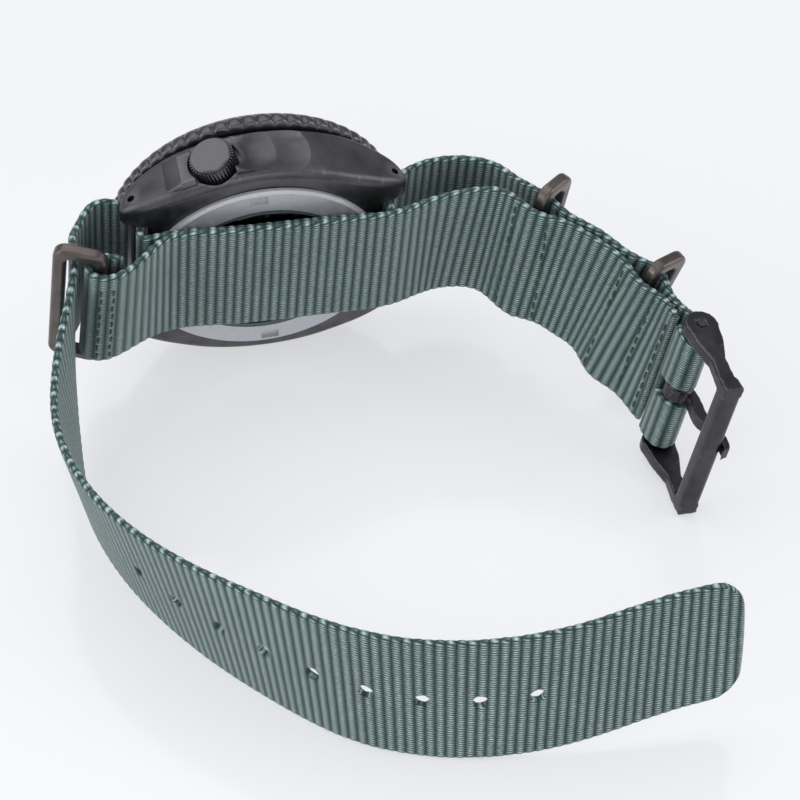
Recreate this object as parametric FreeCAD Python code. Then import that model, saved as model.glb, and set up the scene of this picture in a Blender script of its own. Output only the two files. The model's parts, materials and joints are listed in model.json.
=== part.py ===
import FreeCAD, Part
import math
import os

# A dive watch on a one-piece pull-through nylon strap, lying on its 9 o'clock side with the strap
# standing on edge. Millimetres. +Z is up. The head is drawn in its own frame and then laid down:
# head X points to 3 o'clock, head Y to 12 o'clock, and head Z from the case back to the dial.

Vec = FreeCAD.Vector

# ---------------------------------------------------------------- driving dimensions
BEZEL_R = 21.25            # half of 42.5 across the bezel grip
CASE_R = 20.4              # half-width of the middle case at 3 and 9 o'clock
LUG_TIP_Y = 20.8           # half of the length over the lugs
LUG_GAP = 22.1             # between the lugs, for a 22 mm strap
BAR_Y = 19.05              # spring bars, from the dial axis
BAR_Z = 3.9
CASE_BOTTOM_Z = 0.9        # underside of the middle case; the case back's face is at 0
CASE_TOP_Z = 9.4
CRYSTAL_TOP_Z = 13.4       # total thickness of the head
CROWN_ANGLE = -20.0        # from 3 o'clock towards 6 o'clock
CROWN_Z = 4.9
CROWN_FACE_R = 22.8        # crown's outer face, from the dial axis
CROWN_R = 3.25
BACK_RING_R = 17.5
BACK_WINDOW_R = 13.6

HEAD_TILT = 10.0           # dial axis above level, as the head leans on bezel and case edge
HEAD_DIP = 2.3             # 12 o'clock lug lower than the 6 o'clock lug
HEAD_AT = Vec(0, -9.3, 20.2)

STRAP_WIDTH = 22.0
STRAP_THICK = 1.2
LAYER_GAP = 0.24
HOLE_R = 1.0               # tongue holes in the strap's tail
HOLE_PITCH = 7.5
HOLE_COUNT = 9

WIRE = 1.9                 # thickness of the strap rings' wire
RING_LONG = 25.2           # between the centre lines of a ring's two limbs
KEEPER_SHORT = 4.9         # between the centre lines of a keeper's two bars
LEFT_RING_SHORT = 5.9      # the same, for the wider ring at the strap's folded end

PIN_R = 0.85               # buckle pin
BUCKLE_REACH = 11.3        # from the pin to the middle of the front bar
BUCKLE_WIDTH = 26.8        # over the arms

FIT = 0.03                 # radial clearance of a running fit


# ---------------------------------------------------------------- the head's frame
def head_placement():
    """Head frame laid on its 9 o'clock side, dipped towards 12 and tilted up at the dial."""
    upright = FreeCAD.Rotation(Vec(0, 0, 1), Vec(1, 0, 0), Vec(0, 1, 0), "ZXY")
    dip = FreeCAD.Rotation(Vec(0, 1, 0), HEAD_DIP)
    tilt = FreeCAD.Rotation(Vec(1, 0, 0), HEAD_TILT)
    return FreeCAD.Placement(HEAD_AT, tilt.multiply(dip).multiply(upright))


HEAD = head_placement()
NODES = {}


def keep(name, shape):
    """Store a node that is already in the lying frame."""
    NODES[name] = shape


def keep_head(name, shape):
    """Store a node drawn in the head's frame."""
    laid = shape.copy()
    laid.Placement = HEAD.multiply(laid.Placement)
    NODES[name] = laid


# ---------------------------------------------------------------- shape helpers
def tube(r_out, r_in, z0, z1, x=0.0, y=0.0):
    outer = Part.makeCylinder(r_out, z1 - z0, Vec(x, y, z0))
    if r_in <= 0:
        return outer
    return outer.cut(Part.makeCylinder(r_in, z1 - z0, Vec(x, y, z0)))


def revolved(outline, angle=360.0):
    """Solid of revolution about Z from (radius, z) points."""
    points = [Vec(r, 0, z) for r, z in outline]
    face = Part.Face(Part.makePolygon(points + points[:1]))
    return face.revolve(Vec(0, 0, 0), Vec(0, 0, 1), angle)


def prism(outline, z0, z1):
    """Straight prism from (x, y) points."""
    points = [Vec(x, y, z0) for x, y in outline]
    face = Part.Face(Part.makePolygon(points + points[:1]))
    return face.extrude(Vec(0, 0, z1 - z0))


def polar(radius, degrees):
    a = math.radians(degrees)
    return radius * math.cos(a), radius * math.sin(a)


def turned(shape, degrees, x=0.0, y=0.0):
    done = shape.copy()
    done.rotate(Vec(x, y, 0), Vec(0, 0, 1), degrees)
    return done


def gear(teeth, pitch_r, z0, z1, x, y, phase, bore, spokes=0):
    """Wheel with narrow watch teeth; phase is the direction in degrees of one tooth's centre."""
    depth = 2.0 * pitch_r / teeth
    tip, root = pitch_r + 0.35 * depth, pitch_r - 0.75 * depth
    step = 360.0 / teeth
    outline = []
    for i in range(teeth):
        for radius, offset in ((root, -0.30), (tip, -0.11), (tip, 0.11), (root, 0.30)):
            px, py = polar(radius, phase + (i + offset) * step)
            outline.append((x + px, y + py))
    wheel = prism(outline, z0, z1).cut(tube(bore, 0, z0 - 1, z1 + 1, x, y))
    rim, hub = root * 0.80, max(bore * 1.6, root * 0.24)
    for i in range(spokes):
        middle = phase + (i + 0.5) * 360.0 / spokes
        half = 180.0 / spokes * 0.70
        corners = [polar(rim, middle - half), polar(rim, middle), polar(rim, middle + half),
                   polar(hub, middle + half * 0.7), polar(hub, middle - half * 0.7)]
        window = prism([(x + cx, y + cy) for cx, cy in corners], z0 - 1, z1 + 1)
        wheel = wheel.cut(window)
    return wheel


def on_crown_axis(shape):
    """Lay a shape drawn along +Z from the dial axis onto the crown's axis."""
    done = shape.copy()
    lay = FreeCAD.Rotation(Vec(0, 0, 1), CROWN_ANGLE).multiply(FreeCAD.Rotation(Vec(0, 1, 0), 90))
    done.Placement = FreeCAD.Placement(Vec(0, 0, CROWN_Z), lay).multiply(done.Placement)
    return done


# ---------------------------------------------------------------- middle case
GUARD_R = 21.6             # crown guards' flat faces
POCKET_R = 3.75            # round pocket that the crown sits in
POCKET_FLOOR_R = 19.3
CAVITY_R = 15.2
LUG_TIP_X = 12.8
LUG_TIP_Z = 3.6
BAY_Y = 16.6               # end wall between the lugs
TUBE_R = 1.45              # crown tube
SEAT_R = 15.9              # crystal seat
BOSS_R = 17.4              # boss that the bezel turns on
BOSS_TOP_Z = 12.0


def smooth(points, mirror):
    """Smooth curve through the points on one side of y = 0 and their mirror images; the last is on it."""
    line = points + [mirror(p) for p in reversed(points[:-1])]
    curve = Part.BSplineCurve()
    curve.interpolate(line)
    return curve.toShape()


def case_outline():
    """Plan of the middle case: barrel-sided, running out into four lugs."""
    side = [(LUG_TIP_X, LUG_TIP_Y), (13.9, 20.1), (14.7, BAR_Y), (15.5, 17.5), (16.5, 15.3), (17.6, 12.5),
            (19.0, 8.7), (20.1, 4.0), (CASE_R, 0)]
    edges = []
    for hand_side in (1, -1):
        edges.append(smooth([Vec(hand_side * x, y, 0) for x, y in side], lambda p: Vec(p.x, -p.y, 0)))
    half_gap = LUG_GAP / 2
    for end in (1, -1):
        bay = [(LUG_TIP_X, LUG_TIP_Y), (half_gap, LUG_TIP_Y), (half_gap, BAY_Y), (-half_gap, BAY_Y),
               (-half_gap, LUG_TIP_Y), (-LUG_TIP_X, LUG_TIP_Y)]
        edges = edges + Part.makePolygon([Vec(x, end * y, 0) for x, y in bay]).Edges
    return Part.Face(Part.Wire(Part.__sortEdges__(edges)))


def case_side_view():
    """Side view of the middle case: level in the middle, the lugs coming to rounded tips."""
    upper = [(LUG_TIP_Y, LUG_TIP_Z), (20.1, 5.1), (18.4, 6.6), (15.8, 7.9), (12.5, 9.0), (9.0, 9.34),
             (0, CASE_TOP_Z)]
    lower = [(LUG_TIP_Y, LUG_TIP_Z), (20.3, 2.5), (19.0, 1.8), (16.5, 1.2), (12.5, 0.85), (0, CASE_BOTTOM_Z)]
    edges = [smooth([Vec(0, y, z) for y, z in line], lambda p: Vec(0, -p.y, p.z)) for line in (upper, lower)]
    return Part.Face(Part.Wire(Part.__sortEdges__(edges)))


def crown_guard(side):
    """One of the two shoulders that stand beside the crown; side is 1 or -1."""
    plan = [(17.0, 3.0), (GUARD_R, 3.0), (GUARD_R, 5.0), (20.3, 9.0), (17.0, 9.0)]
    block = prism([(r, side * t) for r, t in plan], 1.9, 8.3)
    sloped = [e for e in block.Edges if abs(e.Vertexes[0].Z - e.Vertexes[-1].Z) < 0.01
              and min(v.X for v in e.Vertexes) > 20.0]
    block = block.makeFillet(0.9, sloped)
    return turned(block, CROWN_ANGLE)


def side_edges(body, z_low, z_high):
    """The long edges down the case's 3 and 9 o'clock sides, between two mean heights."""
    return [e for e in body.Edges if e.BoundBox.YLength > 15 and abs(e.CenterOfMass.x) > 15
            and z_low < e.CenterOfMass.z < z_high]


def case_body():
    body = case_outline().extrude(Vec(0, 0, 20))
    body.translate(Vec(0, 0, -4))
    side = case_side_view().extrude(Vec(60, 0, 0))
    side.translate(Vec(-30, 0, 0))
    body = body.common(side)
    body = body.makeFillet(1.3, side_edges(body, -5, 3))
    body = body.makeFillet(0.8, side_edges(body, 4, 12))
    body = body.fuse([crown_guard(1), crown_guard(-1)])
    scoop_x, scoop_y = polar(CASE_R + 8.0 - 0.95, -1.0)
    body = body.cut(Part.makeSphere(8.0, Vec(scoop_x, scoop_y, 5.6)))
    scoop_x, scoop_y = polar(CASE_R + 16.0 - 0.6, 8.0)
    body = body.cut(Part.makeSphere(16.0, Vec(scoop_x, scoop_y, 5.6)))
    body = body.fuse(tube(BOSS_R, SEAT_R, CASE_TOP_Z - 1, BOSS_TOP_Z))
    body = body.cut(tube(CAVITY_R, 0, -2, 9.0))
    body = body.cut(tube(14.9, 0, 8.5, 20))
    body = body.cut(tube(SEAT_R, 0, 10.6, 20))
    body = body.cut(tube(16.3, 0, -2, 2.3))
    body = body.cut(tube(BACK_RING_R + 0.15, 0, -2, 1.0))
    groove = tube(BOSS_R + 1, BOSS_R - 0.45, 10.2, 10.8)
    body = body.cut(groove)
    pocket = Part.makeCylinder(POCKET_R, 8, Vec(0, 0, POCKET_FLOOR_R))
    stem_hole = Part.makeCylinder(TUBE_R, 12, Vec(0, 0, 12))
    body = body.cut([on_crown_axis(pocket), on_crown_axis(stem_hole)])
    for sign in (1, -1):
        lug_hole = Part.makeCylinder(0.5, 60, Vec(-30, sign * BAR_Y, BAR_Z), Vec(1, 0, 0))
        body = body.cut(lug_hole)
    click_pocket = prism([(18.1, -1.2), (20.0, -1.2), (20.0, 6.5), (18.1, 6.5)], 8.9, 12)
    return body.cut(turned(click_pocket, 150))


keep_head("case_body", case_body())


# ---------------------------------------------------------------- bezel
GRIP_COUNT = 60
BEZEL_Z0 = 9.72
BEZEL_TOP_Z = 12.75
BEZEL_BORE_R = BOSS_R + 0.05


def bezel_ring():
    ring = revolved([(BEZEL_BORE_R, BEZEL_Z0), (20.3, BEZEL_Z0), (BEZEL_R, BEZEL_Z0 + 0.6),
                     (BEZEL_R, 11.6), (20.5, 12.35), (20.1, 12.5), (20.1, 11.9), (17.9, 12.3),
                     (17.9, BEZEL_TOP_Z), (BEZEL_BORE_R, BEZEL_TOP_Z)])
    notches = []
    for i in range(GRIP_COUNT):
        x, y = polar(BEZEL_R + 0.42, (i + 0.5) * 360.0 / GRIP_COUNT)
        notches.append(Part.makeCylinder(0.8, 6, Vec(x, y, 8)))
    return ring.cut(Part.makeCompound(notches))


def bezel_insert():
    """Thin sloping scale ring let into the bezel."""
    return revolved([(17.95, 12.31), (20.05, 11.93), (20.05, 12.42), (17.95, 12.8)])


def bezel_gasket():
    profile = Part.Face(Part.Wire(Part.makeCircle(0.21, Vec(BOSS_R - 0.22, 0, 10.5), Vec(0, 1, 0))))
    return profile.revolve(Vec(0, 0, 0), Vec(0, 0, 1), 360)


def click_spring():
    """Flat leaf in a pocket of the case, its tip bent up to the underside of the bezel."""
    leaf = prism([(18.4, -0.9), (19.7, -0.9), (19.5, 6.2), (18.6, 6.2)], 8.92, 9.12)
    tip = prism([(18.6, 5.6), (19.5, 5.6), (19.5, 6.2), (18.6, 6.2)], 9.1, 9.62)
    return turned(leaf.fuse(tip), 150)


keep_head("bezel_ring", bezel_ring())
keep_head("bezel_insert", bezel_insert())
keep_head("bezel_gasket", bezel_gasket())
keep_head("bezel_click_spring", click_spring())

# ---------------------------------------------------------------- crystal and dial
DIAL_Z = 7.45
DIAL_THICK = 0.4

CRYSTAL_R = 15.4
CRYSTAL_Z0 = 10.9


def crystal():
    """Flat crystal with a small bevel round its top face."""
    bevel = 0.45
    return revolved([(0, CRYSTAL_Z0), (CRYSTAL_R, CRYSTAL_Z0), (CRYSTAL_R, CRYSTAL_TOP_Z - bevel),
                     (CRYSTAL_R - bevel, CRYSTAL_TOP_Z), (0, CRYSTAL_TOP_Z)])


keep_head("crystal", crystal())
keep_head("crystal_gasket", tube(15.85, 15.45, 10.7, 12.0))
keep_head("chapter_ring", revolved([(14.85, 7.9), (14.85, 10.5), (14.4, 10.5), (13.4, 7.9)]))


def day_date_window():
    return Part.makeBox(4.6, 2.0, 2, Vec(7.6, -1.0, DIAL_Z - 0.5))


def dial():
    plate = tube(14.7, 1.25, DIAL_Z, DIAL_Z + DIAL_THICK)
    return plate.cut(day_date_window())


def hour_markers():
    """Twelve raised markers: a triangle at 12, bars at 6 and 9, a small bar at 3, dots between."""
    z0, z1 = DIAL_Z + DIAL_THICK, DIAL_Z + DIAL_THICK + 0.3
    solids = [prism([(-1.3, 12.6), (1.3, 12.6), (0, 9.4)], z0, z1)]
    solids.append(prism([(-0.6, -12.4), (0.6, -12.4), (0.6, -9.2), (-0.6, -9.2)], z0, z1))
    solids.append(prism([(-12.4, -0.6), (-9.2, -0.6), (-9.2, 0.6), (-12.4, 0.6)], z0, z1))
    solids.append(prism([(12.6, -0.45), (13.2, -0.45), (13.2, 0.45), (12.6, 0.45)], z0, z1))
    for hour in (1, 2, 4, 5, 7, 8, 10, 11):
        x, y = polar(11.3, 90 - 30 * hour)
        solids.append(tube(0.85, 0, z0, z1, x, y))
    return Part.makeCompound(solids)


keep_head("dial", dial())
keep_head("hour_markers", hour_markers())

# ---------------------------------------------------------------- movement: plates and wheels
PLATE_Z0, PLATE_Z1 = 5.7, 6.7
BRIDGE_Z0, BRIDGE_Z1 = 2.9, 4.0
PLATE_R = 13.6
BRIDGE_POST_R = 11.9
BRIDGE_POST_ANGLES = (98, 172, 235, 300)
THIRD_AT = polar(5.06, 200.0)
BALANCE_AT = (4.2, 7.6)
BARREL_AT = (-5.4, 6.7)
MINUTE_WHEEL_AT = polar(3.6, -150.0)

# Running train. Teeth: centre wheel 80 to third pinion 10, third wheel 75 to fourth pinion 10,
# fourth wheel 72 to escape pinion 8.
CENTRE_R, THIRD_PINION_R = 4.5, 0.5625
THIRD_R, FOURTH_PINION_R = 4.465, 0.5953
FOURTH_R, ESCAPE_PINION_R = 3.96, 0.44
ESCAPE_AT = polar(FOURTH_R + ESCAPE_PINION_R, 20.0)
PALLET_AT = tuple(a + b for a, b in zip(ESCAPE_AT, polar(2.35, 75.0)))
PALLET_ANGLE = -19.0


def stem_channel():
    return on_crown_axis(Part.makeCylinder(1.15, 14, Vec(0, 0, 5.5)))


def pillars():
    """Four posts on the main plate that hold the train bridge."""
    posts = []
    for angle in BRIDGE_POST_ANGLES:
        x, y = polar(BRIDGE_POST_R, angle)
        posts.append(tube(0.9, 0, BRIDGE_Z1, PLATE_Z0, x, y))
    return posts


def main_plate():
    plate = tube(PLATE_R, 0.65, PLATE_Z0, PLATE_Z1).fuse(pillars())
    plate = plate.cut(tube(13.2, 9.8, PLATE_Z1 - 0.25, PLATE_Z1 + 1))
    plate = plate.cut(tube(1.9, 0, PLATE_Z1 - 0.35, PLATE_Z1 + 1, *MINUTE_WHEEL_AT))
    for x, y in (THIRD_AT, ESCAPE_AT, BALANCE_AT, PALLET_AT):
        plate = plate.cut(tube(0.2, 0, 5, 8, x, y))
    plate = plate.cut(tube(0.3, 0, 5, 8, *MINUTE_WHEEL_AT))
    plate = plate.cut(tube(0.9, 0, 5, 8, *BARREL_AT))
    return plate.cut(stem_channel())




def train_bridge():
    """Half-moon bridge over the barrel and the train, carrying the rotor's bearing."""
    bridge = tube(12.9, 0, BRIDGE_Z0, BRIDGE_Z1)
    bridge = bridge.cut([tube(5.4, 0, 2, 6, 6.2, 9.2), tube(4.9, 0, 2, 6, *BALANCE_AT)])
    bridge = bridge.cut(tube(0.32, 0, 2, 6))
    for x, y in (THIRD_AT, ESCAPE_AT):
        bridge = bridge.cut(tube(0.2, 0, 2, 6, x, y))
    bridge = bridge.cut(tube(3.3, 0, 2, BRIDGE_Z0 + 0.42, *BARREL_AT))
    bridge = bridge.cut(tube(0.65, 0, 2, 6, *BARREL_AT))
    return bridge


def slotted_head(radius, z0, z1, x, y):
    head = tube(radius, 0, z0, z1, x, y)
    return head.cut(Part.makeBox(2 * radius, 0.25, 0.12, Vec(x - radius, y - 0.125, z0)))


def movement_screws():
    """Four bridge screws and the screw in the middle of the rotor's bearing."""
    screws = []
    for angle in BRIDGE_POST_ANGLES:
        x, y = polar(BRIDGE_POST_R, angle)
        screws.append(slotted_head(0.8, BRIDGE_Z0 - 0.35, BRIDGE_Z0, x, y))
    screws.append(slotted_head(1.6, 1.55, 1.8, 0, 0).fuse(tube(0.4, 0, 1.7, 2.6)))
    return Part.makeCompound(screws)


def movement_holder():
    ring = tube(15.1, 13.75, 2.6, 7.3)
    return ring.cut(on_crown_axis(Part.makeCylinder(1.6, 8, Vec(0, 0, 10))))


keep_head("main_plate", main_plate())
keep_head("train_bridge", train_bridge())
keep_head("movement_screws", movement_screws())
keep_head("movement_holder", movement_holder())


def centre_wheel():
    """Centre wheel low against the plate, its tube reaching up for the cannon pinion."""
    wheel = gear(80, CENTRE_R, 5.3, 5.5, 0, 0, 200.0, 0.3, spokes=5)
    return wheel.fuse(tube(0.6, 0.3, 5.25, 6.9))


def third_wheel():
    x, y = THIRD_AT
    pinion = gear(10, THIRD_PINION_R, 5.15, 5.6, x, y, 38.0, 0.05)
    wheel = gear(75, THIRD_R, 4.75, 4.95, x, y, 20.0, 0.05, spokes=5)
    arbor = tube(0.15, 0, 3.2, 6.3, x, y)
    return wheel.fuse([pinion, tube(0.3, 0, 4.6, 5.6, x, y), arbor])


def fourth_wheel():
    """Seconds wheel: its long arbor passes through the centre wheel and carries the hand."""
    pinion = gear(10, FOURTH_PINION_R, 4.65, 5.05, 0, 0, 218.0, 0.05)
    wheel = gear(72, FOURTH_R, 4.35, 4.55, 0, 0, 20.0, 0.05, spokes=5)
    arbor = tube(0.2, 0, 3.3, 9.15, 0, 0)
    return wheel.fuse([pinion, tube(0.3, 0, 4.3, 5.05), arbor])


def escape_wheel():
    x, y = ESCAPE_AT
    pinion = gear(8, ESCAPE_PINION_R, 4.3, 4.6, x, y, 200.0 + 22.5, 0.05)
    outline = []
    for i in range(20):
        for radius, offset in ((1.35, 0), (1.35, 11.0), (1.85, 14.5), (1.85, 16.0)):
            px, py = polar(radius, 18.0 * i + offset)
            outline.append((x + px, y + py))
    wheel = prism(outline, 4.95, 5.1).cut(tube(1.05, 0.35, 4, 6, x, y))
    bars = [turned(Part.makeBox(2.3, 0.25, 0.15, Vec(x - 1.15, y - 0.125, 4.95)), a, x, y) for a in (0, 90)]
    arbor = tube(0.15, 0, 3.2, 5.25, x, y)
    return wheel.fuse(bars + [pinion, arbor])


def pallet_fork():
    """Lever with two jewelled arms over the escape wheel's rim and a forked tail."""
    x, y = PALLET_AT
    arm = Part.makeBox(3.1, 0.4, 0.18, Vec(x - 1.55, y - 0.2, 5.22))
    lever = Part.makeBox(0.36, 2.1, 0.18, Vec(x - 0.18, y, 5.22))
    arbor = tube(0.15, 0, 4.9, 6.3, x, y)
    return turned(arm.fuse([lever, arbor]), PALLET_ANGLE, x, y)


def balance_wheel():
    x, y = BALANCE_AT
    rim = tube(4.3, 3.7, 3.45, 3.75, x, y)
    arm = Part.makeBox(7.8, 0.5, 0.18, Vec(x - 3.9, y - 0.25, 3.5))
    staff = tube(0.15, 0, 3.0, 6.3, x, y)
    roller = tube(0.7, 0, 4.5, 4.7, x, y)
    return rim.fuse([arm, staff, roller])


def hairspring():
    """Flat spiral above the balance, drawn as a ribbon of constant width."""
    x, y = BALANCE_AT
    turns, inner, pitch, thick = 6, 0.45, 0.3, 0.06
    points_out, points_in = [], []
    for i in range(turns * 12 + 1):
        angle = 30.0 * i
        radius = inner + pitch * i / 12.0
        points_out.append(Vec(x + polar(radius + thick, angle)[0], y + polar(radius + thick, angle)[1], 3.15))
        points_in.append(Vec(x + polar(radius, angle)[0], y + polar(radius, angle)[1], 3.15))
    outer, inner_curve = Part.BSplineCurve(), Part.BSplineCurve()
    outer.interpolate(points_out)
    inner_curve.interpolate(points_in)
    caps = [Part.makeLine(points_out[0], points_in[0]), Part.makeLine(points_out[-1], points_in[-1])]
    wire = Part.Wire(Part.__sortEdges__([outer.toShape(), inner_curve.toShape()] + caps))
    collet = tube(0.48, 0.15, 3.15, 3.3, x, y)
    return Part.Face(wire).extrude(Vec(0, 0, 0.15)).fuse(collet)


def balance_cock():
    """Bracket that reaches over the balance from a post at the rim."""
    x, y = BALANCE_AT
    arm = prism([(x - 0.9, y - 1.0), (x + 0.9, y - 1.0), (9.3, 8.9), (7.6, 10.4)], 2.75, 2.98)
    eye = tube(1.3, 0.2, 2.75, 2.98, x, y)
    post = tube(0.75, 0, 2.75, PLATE_Z0, *polar(13.3, 48.0)).common(tube(13.4, 0, 0, 9))
    return arm.fuse([eye, post]).cut(tube(0.2, 0, 2, 4, x, y))


def mainspring_barrel():
    x, y = BARREL_AT
    drum = tube(3.75, 0, 4.15, 5.3, x, y).cut(tube(3.45, 0, 4.35, 5.15, x, y))
    rim = gear(84, 4.35, 4.15, 4.28, x, y, 10.0, 3.7)
    return drum.fuse(rim).cut(tube(0.55, 0, 4, 6, x, y))


def barrel_arbor():
    x, y = BARREL_AT
    return tube(0.5, 0, 2.6, 6.2, x, y).fuse(tube(1.0, 0, 4.45, 5.05, x, y))


def mainspring():
    """Coiled strip filling the outer part of the barrel, drawn as nested rings."""
    x, y = BARREL_AT
    coils = [tube(3.38 - 0.3 * i, 3.26 - 0.3 * i, 4.42, 5.08, x, y) for i in range(6)]
    return Part.makeCompound(coils)


def ratchet_wheel():
    x, y = BARREL_AT
    return gear(50, 2.9, 2.9, 3.2, x, y, 5.0, 0.5, spokes=0)


keep_head("centre_wheel", centre_wheel())
keep_head("third_wheel", third_wheel())
keep_head("fourth_wheel", fourth_wheel())
keep_head("escape_wheel", escape_wheel())
keep_head("pallet_fork", pallet_fork())
keep_head("balance_wheel", balance_wheel())
keep_head("hairspring", hairspring())
keep_head("balance_cock", balance_cock())
keep_head("mainspring_barrel", mainspring_barrel())
keep_head("mainspring", mainspring())
keep_head("barrel_arbor", barrel_arbor())
keep_head("ratchet_wheel", ratchet_wheel())

# ---------------------------------------------------------------- motion work, hands, calendar
CANNON_R, MINUTE_WHEEL_R = 0.90, 2.70          # 12 and 36 teeth
MINUTE_PINION_R, HOUR_WHEEL_R = 0.72, 2.88     # 10 and 40 teeth
HOUR_HAND_ANGLE, MINUTE_HAND_ANGLE = 145.0, 30.0
SECOND_HAND_ANGLE = -90.0


def cannon_pinion():
    """Drives the motion work; its pipe carries the minute hand."""
    teeth = gear(12, CANNON_R, 6.78, 6.98, 0, 0, -150.0, 0.6 + FIT)
    return teeth.fuse(tube(0.8, 0.6 + FIT, 6.95, 8.75))


def minute_wheel():
    x, y = MINUTE_WHEEL_AT
    wheel = gear(36, MINUTE_WHEEL_R, 6.78, 6.93, x, y, 30.0 + 5.0, 0.1)
    pinion = gear(10, MINUTE_PINION_R, 6.9, 7.22, x, y, 30.0, 0.1)
    return wheel.fuse([pinion, tube(0.27, 0, 6.0, 7.22, x, y)])


def hour_wheel():
    wheel = gear(40, HOUR_WHEEL_R, 7.05, 7.2, 0, 0, -150.0 + 4.5, 0.8 + FIT)
    return wheel.fuse(tube(1.15, 0.8 + FIT, 7.05, 8.3))


def hand(length, tail, width, z0, z1, bore, angle):
    """Baton hand with a boss and a counterpoised tail."""
    blade = prism([(-tail, -width * 0.3), (0, -width * 0.5), (length * 0.8, -width), (length, 0),
                   (length * 0.8, width), (0, width * 0.5), (-tail, width * 0.3)], z0, z1)
    boss = tube(bore + 0.55, 0, z0, z1)
    return turned(blade.fuse(boss).cut(tube(bore, 0, z0 - 1, z1 + 1)), angle)


def second_hand():
    blade = hand(12.4, 4.0, 0.22, 8.98, 9.1, 0.2, 0.0)
    disc = tube(0.75, 0, 8.98, 9.1, 8.6, 0)
    return turned(blade.fuse(disc), SECOND_HAND_ANGLE)


def calendar_disc(r_out, r_in, z0, notches):
    disc = tube(r_out, r_in, z0, z0 + 0.15)
    for i in range(notches):
        x, y = polar(r_in, i * 360.0 / notches)
        disc = disc.cut(tube(0.35, 0, z0 - 1, z0 + 1, x, y))
    return disc


keep_head("cannon_pinion", cannon_pinion())
keep_head("minute_wheel", minute_wheel())
keep_head("hour_wheel", hour_wheel())
keep_head("hour_hand", hand(8.2, 1.6, 0.85, 8.05, 8.25, 1.15, HOUR_HAND_ANGLE))
keep_head("minute_hand", hand(12.0, 1.8, 0.75, 8.5, 8.68, 0.8, MINUTE_HAND_ANGLE))
keep_head("second_hand", second_hand())
keep_head("date_disc", calendar_disc(13.1, 9.9, 6.5, 31))
keep_head("day_disc", calendar_disc(9.4, 1.6, 7.26, 7))


# ---------------------------------------------------------------- winding rotor
def rotor():
    """Half-disc weight, hanging below its bearing as the watch lies on its 9 o'clock side."""
    half = Part.makeBox(14, 28, 2, Vec(-14, -14, 1))
    web = tube(11.2, 0, 1.95, 2.2).common(half).fuse(tube(2.3, 0, 1.95, 2.2))
    for angle in (125, 180, 235):
        x, y = polar(6.6, angle)
        web = web.cut(tube(1.7, 0, 1, 3, x, y))
    weight = tube(12.5, 10.9, 1.6, 2.4).common(half)
    return web.fuse(weight).cut(tube(1.2 + FIT, 0, 1, 3))


keep_head("rotor", rotor())
keep_head("rotor_bearing", tube(1.2, 0.4, 1.8, BRIDGE_Z0).fuse(tube(2.0, 0.4, 2.4, BRIDGE_Z0)))


# ---------------------------------------------------------------- crown and stem
KNURL_TEETH = 40
CROWN_BACK_R = 19.55


def crown():
    """Drawn along +Z from the dial axis: knurled skirt, stepped face, hollow behind."""
    outline = []
    for i in range(KNURL_TEETH):
        for radius, offset in ((CROWN_R - 0.28, -0.28), (CROWN_R, -0.2), (CROWN_R, 0.2), (CROWN_R - 0.28, 0.28)):
            outline.append(polar(radius, (i + offset) * 360.0 / KNURL_TEETH))
    skirt = prism(outline, CROWN_BACK_R, CROWN_FACE_R - 0.55)
    face = revolved([(0, 21.9), (3.0, 21.9), (3.0, CROWN_FACE_R - 0.25), (2.75, CROWN_FACE_R),
                     (0, CROWN_FACE_R)])
    shell = skirt.fuse(face).cut(tube(1.9, 0, 19, 21.6))
    return shell.cut(tube(0.45, 0, 19, 21.9))


def sliding_pinion():
    outline = []
    for i in range(12):
        for radius, offset in ((0.66, -0.28), (0.8, -0.15), (0.8, 0.15), (0.66, 0.28)):
            outline.append(polar(radius, (i + offset) * 30.0))
    return prism(outline, 8.2, 10.4).cut(tube(0.45 + FIT, 0, 8, 11))


keep_head("crown", on_crown_axis(crown()))
keep_head("crown_gasket", on_crown_axis(tube(1.9, TUBE_R + 0.04, 20.0, 20.6)))
keep_head("crown_tube", on_crown_axis(tube(TUBE_R, 0.5, 15.3, 20.9)))
keep_head("winding_stem", on_crown_axis(tube(0.45, 0, 7.0, 21.9)))
keep_head("sliding_pinion", on_crown_axis(sliding_pinion()))


# ---------------------------------------------------------------- case back
NOTCH_COUNT = 6
NOTCH_ANGLE = -5.0        # of the first wrench notch


def case_back_ring():
    ring = revolved([(BACK_WINDOW_R, 0), (BACK_RING_R - 0.4, 0), (BACK_RING_R, 0.35), (BACK_RING_R, 0.85),
                     (16.2, 0.85), (16.2, 2.2), (15.4, 2.2), (15.4, 1.3), (BACK_WINDOW_R, 1.3)])
    for i in range(NOTCH_COUNT):
        notch = Part.makeBox(1.7, 2.6, 0.6, Vec(15.0, -1.3, -0.1))
        ring = ring.cut(turned(notch, NOTCH_ANGLE + i * 360.0 / NOTCH_COUNT))
    return ring


keep_head("case_back_ring", case_back_ring())
keep_head("case_back_gasket", tube(BACK_RING_R, 16.35, 0.86, 0.99))
keep_head("back_glass", revolved([(0, 0.2), (12.6, 0.2), (12.9, 0.45), (12.9, 1.25), (0, 1.25)]))
keep_head("back_glass_gasket", tube(BACK_WINDOW_R, 12.92, 0.1, 1.25))

# ---------------------------------------------------------------- spring bars
BAR_R = 0.7
BAR_BORE = 0.45
TIP_TRAVEL = 1.6


def bar_tube(sign):
    return Part.makeCylinder(BAR_R, 21.8, Vec(-10.9, sign * BAR_Y, BAR_Z), Vec(1, 0, 0)).cut(
        Part.makeCylinder(BAR_BORE, 21.8, Vec(-10.9, sign * BAR_Y, BAR_Z), Vec(1, 0, 0)))


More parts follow.
